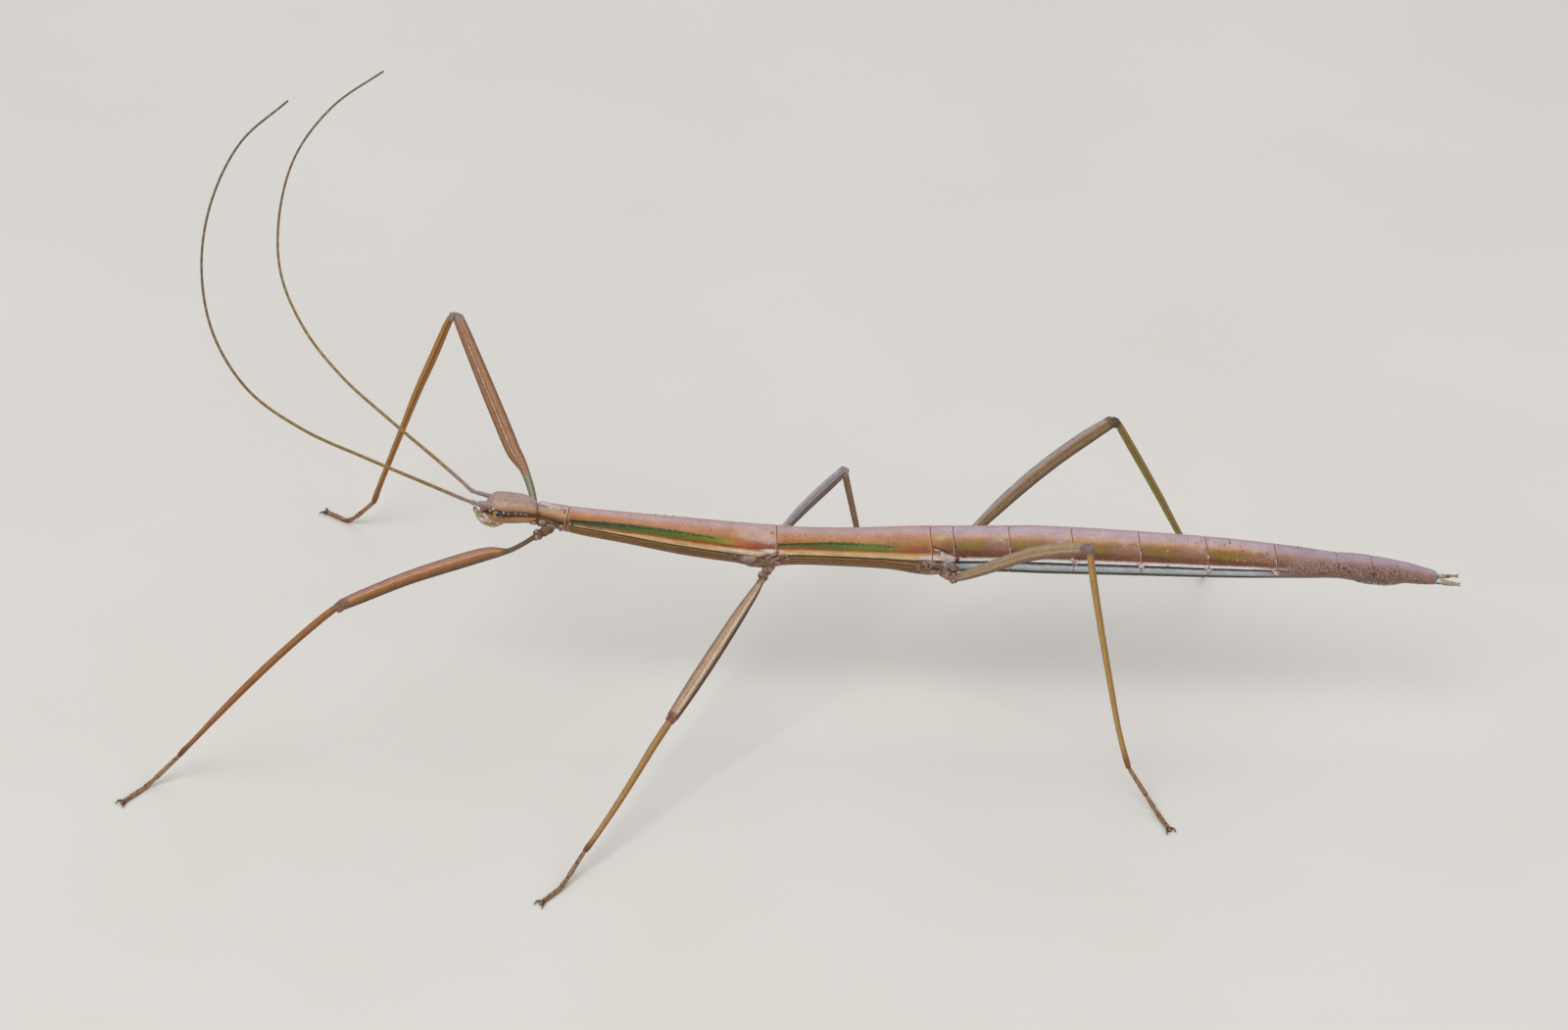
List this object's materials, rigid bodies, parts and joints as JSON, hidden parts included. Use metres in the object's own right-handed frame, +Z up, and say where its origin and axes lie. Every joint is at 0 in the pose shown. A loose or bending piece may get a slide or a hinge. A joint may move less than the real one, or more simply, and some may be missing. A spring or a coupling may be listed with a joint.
{
  "type": "stick insect figure",
  "caption": "Still life-size model of a slender wingless stick insect standing on splayed legs, with long antennae swept up and back and a tapering jointed body.",
  "frame": {"origin": "on the floor, at the middle of the model's box seen from above, below the rear of the mesothorax", "axes": "+Z up; the head points towards -X and the tail towards +X; the insect's left side is -Y; the soles stand on z = 0"},
  "size_m": [0.1119, 0.0652, 0.0554],
  "materials": {
    "head_cuticle": "satin waxy cuticle, pinkish tan",
    "mouth_cuticle": "satin cuticle, pale pinkish cream",
    "eye": "glossy compound eye, yellow-green with dark bands",
    "antenna_cuticle": "dull golden tan cuticle",
    "thorax_cuticle": "satin waxy cuticle, pink-tan with a green side band",
    "abdomen_cuticle": "satin waxy cuticle, lilac pink with an olive side patch",
    "tail_horn": "satin cream cuticle",
    "leg_cuticle": "satin ridged cuticle, tan to orange brown",
    "foot_cuticle": "dull brown cuticle with dark claws"
  },
  "bodies": {
    "root": {"head": "head_cuticle", "mouthparts": "mouth_cuticle", "eye_left": "eye", "eye_right": "eye", "antenna_left_base": "antenna_cuticle", "antenna_left_middle": "antenna_cuticle", "antenna_left_tip": "antenna_cuticle", "antenna_right_base": "antenna_cuticle", "antenna_right_middle": "antenna_cuticle", "antenna_right_tip": "antenna_cuticle", "pronotum": "thorax_cuticle", "mesothorax": "thorax_cuticle", "metathorax": "thorax_cuticle", "median_segment": "thorax_cuticle", "abdomen_2": "abdomen_cuticle", "abdomen_3": "abdomen_cuticle", "abdomen_4": "abdomen_cuticle", "abdomen_5": "abdomen_cuticle", "abdomen_6": "abdomen_cuticle", "abdomen_7": "abdomen_cuticle", "abdomen_8": "abdomen_cuticle", "abdomen_9": "abdomen_cuticle", "abdomen_10": "abdomen_cuticle", "operculum": "tail_horn", "cercus_left": "tail_horn", "cercus_right": "tail_horn", "coxa_left_front": "leg_cuticle", "femur_left_front": "leg_cuticle", "tibia_left_front": "leg_cuticle", "tarsus_left_front": "foot_cuticle", "coxa_left_middle": "leg_cuticle", "femur_left_middle": "leg_cuticle", "tibia_left_middle": "leg_cuticle", "tarsus_left_middle": "foot_cuticle", "coxa_left_hind": "leg_cuticle", "femur_left_hind": "leg_cuticle", "tibia_left_hind": "leg_cuticle", "tarsus_left_hind": "foot_cuticle", "coxa_right_front": "leg_cuticle", "femur_right_front": "leg_cuticle", "tibia_right_front": "leg_cuticle", "tarsus_right_front": "foot_cuticle", "coxa_right_middle": "leg_cuticle", "femur_right_middle": "leg_cuticle", "tibia_right_middle": "leg_cuticle", "tarsus_right_middle": "foot_cuticle", "coxa_right_hind": "leg_cuticle", "femur_right_hind": "leg_cuticle", "tibia_right_hind": "leg_cuticle", "tarsus_right_hind": "foot_cuticle"}
  },
  "joints": []
}
